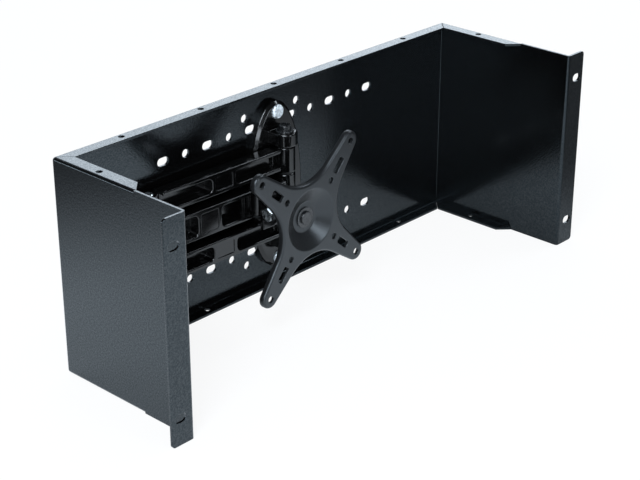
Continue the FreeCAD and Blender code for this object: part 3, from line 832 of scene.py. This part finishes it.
class ARM_OT_rivet(ArmOperator):
    """Makes the flat rivet in the middle of the monitor plate's dish"""

    bl_idname = "monitor_arm.rivet"
    bl_label = "Swivel Rivet"

    def execute(self, context):
        hardware = context.scene.arm_hardware
        low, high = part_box("swivel_bolt")
        head_radius = (high.x - low.x) / 2
        head_foot = hardware.rivet_head
        shank = hardware.rivet_radius
        tail = high.y - low.y
        profile = [(hardware.rivet_dish, 0), (hardware.rivet_dish, head_radius * hardware.rivet_dish_share)]
        profile += quarter_round(0, head_radius, hardware.rivet_rim)
        profile += [(head_foot, head_radius), (head_foot, shank), (tail, shank), (tail, 0)]
        bm = bmesh.new()
        turned(bm, profile, Vector(((low.x + high.x) / 2, low.y, 0)), INWARD)
        add_piece("swivel_rivet", bm, "black_steel", "tilt_block", "swivel_bolt")
        return {"FINISHED"}


# Stage

class ARM_OT_stage(ArmOperator):
    """Adds the floor, the surroundings, the lamps and the camera"""

    bl_idname = "monitor_arm.stage"
    bl_label = "Studio Stage"

    def execute(self, context):
        stage = context.scene.arm_stage
        self.add_floor(stage)
        self.add_surroundings(context, stage)
        self.add_lamps(stage)
        self.add_camera(context, stage)
        context.scene.view_settings.view_transform = "Standard"
        return {"FINISHED"}

    @staticmethod
    def add_floor(stage):
        bm = bmesh.new()
        bmesh.ops.create_grid(bm, x_segments=1, y_segments=1, size=stage.floor_size / 2)
        bmesh.ops.translate(bm, verts=bm.verts, vec=(0, 0, cad_low.z - FLOOR_GAP))
        mesh = bpy.data.meshes.new("studio_floor")
        bm.to_mesh(mesh)
        bm.free()
        mesh.materials.append(floor_finish(stage))
        floor = bpy.data.objects.new("studio_floor", mesh)
        bpy.context.scene.collection.objects.link(floor)

    @staticmethod
    def add_surroundings(context, stage):
        world = bpy.data.worlds.new("studio")
        world.use_nodes = True
        context.scene.world = world
        finish = Finish(world.node_tree)
        camera, gloss = seen_by(finish)
        level = stage.sky + camera * (1 - stage.sky) + gloss * (stage.sky_gloss - stage.sky)
        tint = finish.mix(camera, stage.light_tint, WHITE)
        light = finish.node("ShaderNodeBackground", {}, {"Color": tint, "Strength": level})
        finish.node("ShaderNodeOutputWorld", {}, {"Surface": light})

    @staticmethod
    def add_lamps(stage):
        add_lamp(stage, "key_softbox", offset=(-1.43, -0.88, 1.26), size=(1.0, 1.0), watts=36)
        add_lamp(stage, "front_strip", offset=(0.2, -2.2, 0.45), size=(0.5, 1.0), watts=12)
        add_lamp(stage, "right_softbox", offset=(1.45, -0.44, 1.58), size=(0.6, 0.6), watts=8)
        add_lamp(stage, "rear_softbox", offset=(1.7, 1.45, 1.0), size=(1.6, 0.9), watts=8)
        add_lamp(stage, "left_strip", offset=(-1.57, 1.24, 0.12), size=(2.0, 0.35), watts=8)
        add_lamp(stage, "rim_softbox", offset=(-1.1, -0.6, 1.56), size=(0.5, 0.5), watts=8)
        add_lamp(stage, "low_strip", offset=(-1.25, -1.45, 0.12), size=(0.5, 0.8), watts=6)
        add_lamp(stage, "rear_backdrop", offset=(1.7, 2.1, 0.82), size=(4.2, 1.9), watts=28, facing=-INWARD)

    @staticmethod
    def add_camera(context, stage):
        data = bpy.data.cameras.new("photo_camera")
        data.lens = stage.lens
        camera = bpy.data.objects.new("photo_camera", data)
        camera.location = stage.camera_place
        camera.rotation_euler = (FULL_TURN / 4 - stage.camera_pitch, 0, -stage.camera_heading)
        context.scene.collection.objects.link(camera)
        context.scene.camera = camera


def floor_finish(stage):
    """White floor for the camera. Gloss sees a painted pool of light on it, an emission that fades away from
    the object, with the floor painted darker outside the pool.
    """
    material, finish = new_finish("studio_floor")
    middle = (*stage.pool_middle, cad_low.z)
    from_middle = finish.node(
        "ShaderNodeVectorMath", {"operation": "SUBTRACT"}, {0: finish.place(), 1: middle},
    )
    distance = finish.node("ShaderNodeVectorMath", {"operation": "LENGTH"}, {0: from_middle}, "Value")
    # Painted pool of light: 1 near the object, falling to the pool's rest level further out.
    pool = finish.node("ShaderNodeMapRange", {"interpolation_type": "SMOOTHSTEP"}, {
        "Value": distance,
        "From Min": stage.pool_radius - stage.pool_fade / 2,
        "From Max": stage.pool_radius + stage.pool_fade / 2,
        "To Min": 1.0,
        "To Max": stage.pool_rest,
    })
    camera, gloss = seen_by(finish)
    # For gloss, the floor's colour and its glow are painted darker away from the pool: painted shade around
    # the painted light.
    faded = gloss * (1 - pool)
    dull = finish.node("ShaderNodeBsdfDiffuse", {}, {"Color": finish.mix(faded, stage.floor, BLACK)})
    glow = finish.mix(faded, WHITE, BLACK)
    white = finish.node("ShaderNodeEmission", {}, {"Color": glow, "Strength": 1.0})
    share = camera * stage.floor_white + gloss * stage.floor_glow
    mixed = finish.node("ShaderNodeMixShader", {}, {0: share, 1: dull, 2: white})
    finish.node("ShaderNodeOutputMaterial", {}, {"Surface": mixed})
    return material


def seen_by(finish):
    """Two masks: rays from the camera, and rays from gloss or through glass."""
    camera, glossy, through = (
        finish.node("ShaderNodeLightPath", {}, {}, name)
        for name in ("Is Camera Ray", "Is Glossy Ray", "Is Transmission Ray")
    )
    return camera, (glossy + through).limited()


def add_lamp(stage, name, offset, size, watts, facing=None):
    """Adds a soft lamp at an offset from the object's middle, which it faces unless told otherwise."""
    away = Vector(offset)
    if facing is None:
        facing = -away
    data = bpy.data.lights.new(name, "AREA")
    data.shape = "RECTANGLE"
    data.size, data.size_y = size
    data.energy = watts
    data.color = stage.light_tint
    lamp = bpy.data.objects.new(name, data)
    lamp.location = (cad_low + cad_high) / 2 + away
    lamp.rotation_euler = facing.to_track_quat("-Z", "Y").to_euler()
    lamp.visible_camera = False
    bpy.context.scene.collection.objects.link(lamp)


# Registration

SETTINGS = {"arm_paint": PaintSettings, "arm_hardware": HardwareSettings, "arm_stage": StageSettings}
OPERATORS = (
    ARM_OT_bracket, ARM_OT_castings, ARM_OT_plate, ARM_OT_bearings, ARM_OT_base_bolts, ARM_OT_nuts,
    ARM_OT_tilt_bolt, ARM_OT_rivet, ARM_OT_stage,
)


class ARM_PT_sidebar(Panel):
    """Lists the monitor arm's pieces"""

    bl_idname = "ARM_PT_sidebar"
    bl_label = "Monitor Arm"
    bl_space_type = "VIEW_3D"
    bl_region_type = "UI"
    bl_category = "Monitor Arm"

    def draw(self, context):
        column = self.layout.column()
        for operator in OPERATORS:
            column.operator(operator.bl_idname)


CLASSES = (*SETTINGS.values(), *OPERATORS, ARM_PT_sidebar)


def register():
    for cls in CLASSES:
        bpy.utils.register_class(cls)
    for name, group in SETTINGS.items():
        setattr(bpy.types.Scene, name, PointerProperty(type=group))


def unregister():
    for name in SETTINGS:
        delattr(bpy.types.Scene, name)
    for cls in reversed(CLASSES):
        bpy.utils.unregister_class(cls)


def main():
    register()
    bpy.ops.monitor_arm.bracket()
    bpy.ops.monitor_arm.castings()
    bpy.ops.monitor_arm.plate()
    bpy.ops.monitor_arm.bearings()
    bpy.ops.monitor_arm.base_bolts()
    bpy.ops.monitor_arm.nuts()
    bpy.ops.monitor_arm.tilt_bolt()
    bpy.ops.monitor_arm.rivet()
    bpy.ops.monitor_arm.stage()


if __name__ == "__main__":
    main()
